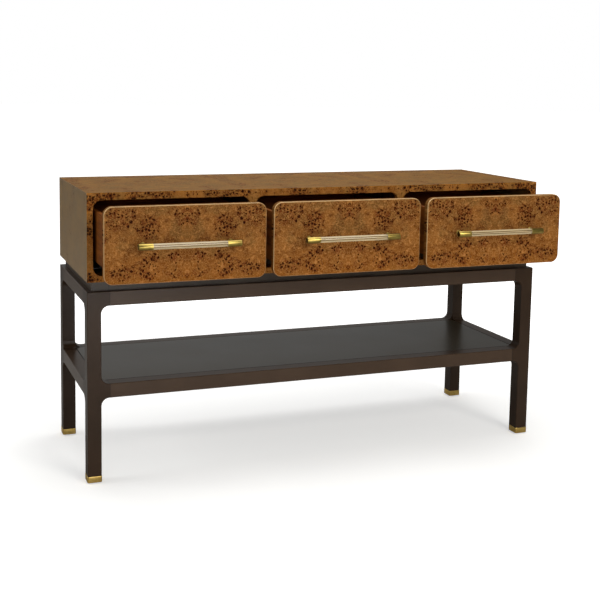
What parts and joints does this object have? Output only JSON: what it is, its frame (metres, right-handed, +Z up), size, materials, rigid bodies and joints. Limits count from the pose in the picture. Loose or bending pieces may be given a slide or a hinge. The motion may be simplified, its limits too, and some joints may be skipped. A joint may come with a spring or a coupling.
{
  "type": "lowboy",
  "caption": "Wide low chest of drawers: a veneered case with a row of drawers and bar pulls on an open, dark-painted frame base with a low shelf and brass foot cups.",
  "frame": {"origin": "on the floor, below the middle of the whole object's box with its drawers drawn out as at rest", "axes": "+X along the front from left to right, +Y from the front to the back, +Z up"},
  "size_m": [1.526, 0.6985, 0.875],
  "materials": {
    "case_veneer": "satin lacquered veneer",
    "burl_veneer": "satin lacquered burl veneer",
    "inner_wood": "matte",
    "drawer_wood": "satin",
    "drawer_floor": "satin",
    "block_wood": "matte",
    "dark_paint": "satin dark paint",
    "brass": "satin",
    "clear_rod": "clear polished",
    "steel": "zinc plated",
    "glide": "matte"
  },
  "bodies": {
    "carcass": {"case_top": "case_veneer", "case_bottom": "case_veneer", "case_side_left": "case_veneer", "case_side_right": "case_veneer", "case_partition_left": "inner_wood", "case_partition_right": "inner_wood", "case_back": "inner_wood", "face_frame": "burl_veneer", "plinth_boards": "dark_paint", "leg_front_left": "dark_paint", "leg_front_right": "dark_paint", "leg_back_left": "dark_paint", "leg_back_right": "dark_paint", "top_rail_front": "dark_paint", "top_rail_back": "dark_paint", "top_rail_left": "dark_paint", "top_rail_right": "dark_paint", "shelf_rail_front": "dark_paint", "shelf_rail_back": "dark_paint", "shelf_rail_left": "dark_paint", "shelf_rail_right": "dark_paint", "shelf_panel": "dark_paint", "foot_cups": "brass", "foot_glides": "glide", "case_runners": "steel", "corner_blocks": "block_wood"},
    "drawer_left": {"left_drawer_front": "burl_veneer", "left_drawer_box_front": "drawer_wood", "left_drawer_side_left": "drawer_wood", "left_drawer_side_right": "drawer_wood", "left_drawer_back": "drawer_wood", "left_drawer_bottom": "drawer_floor", "left_drawer_carriers": "steel", "left_drawer_pull_rod": "clear_rod", "left_drawer_pull_sleeves": "brass", "left_drawer_pull_posts": "brass"},
    "sliders_left": {"left_drawer_sliders": "steel"},
    "drawer_middle": {"middle_drawer_front": "burl_veneer", "middle_drawer_box_front": "drawer_wood", "middle_drawer_side_left": "drawer_wood", "middle_drawer_side_right": "drawer_wood", "middle_drawer_back": "drawer_wood", "middle_drawer_bottom": "drawer_floor", "middle_drawer_carriers": "steel", "middle_drawer_pull_rod": "clear_rod", "middle_drawer_pull_sleeves": "brass", "middle_drawer_pull_posts": "brass"},
    "sliders_middle": {"middle_drawer_sliders": "steel"},
    "drawer_right": {"right_drawer_front": "burl_veneer", "right_drawer_box_front": "drawer_wood", "right_drawer_side_left": "drawer_wood", "right_drawer_side_right": "drawer_wood", "right_drawer_back": "drawer_wood", "right_drawer_bottom": "drawer_floor", "right_drawer_carriers": "steel", "right_drawer_pull_rod": "clear_rod", "right_drawer_pull_sleeves": "brass", "right_drawer_pull_posts": "brass"},
    "sliders_right": {"right_drawer_sliders": "steel"}
  },
  "joints": [
    {"name": "drawer_left_slide", "type": "slide", "parent": "carcass", "child": "drawer_left", "axis": [0, -1, 0], "range_m": [-0.15, 0.24]},
    {"name": "sliders_left_slide", "type": "slide", "parent": "carcass", "child": "sliders_left", "axis": [0, -1, 0], "range_m": [-0.075, 0.12]},
    {"name": "drawer_middle_slide", "type": "slide", "parent": "carcass", "child": "drawer_middle", "axis": [0, -1, 0], "range_m": [-0.156, 0.234]},
    {"name": "sliders_middle_slide", "type": "slide", "parent": "carcass", "child": "sliders_middle", "axis": [0, -1, 0], "range_m": [-0.078, 0.117]},
    {"name": "drawer_right_slide", "type": "slide", "parent": "carcass", "child": "drawer_right", "axis": [0, -1, 0], "range_m": [-0.162, 0.228]},
    {"name": "sliders_right_slide", "type": "slide", "parent": "carcass", "child": "sliders_right", "axis": [0, -1, 0], "range_m": [-0.081, 0.114]}
  ],
  "couplings": [
    {"joint": "sliders_left_slide", "follows": "drawer_left_slide", "ratio": 0.5},
    {"joint": "sliders_middle_slide", "follows": "drawer_middle_slide", "ratio": 0.5},
    {"joint": "sliders_right_slide", "follows": "drawer_right_slide", "ratio": 0.5}
  ]
}
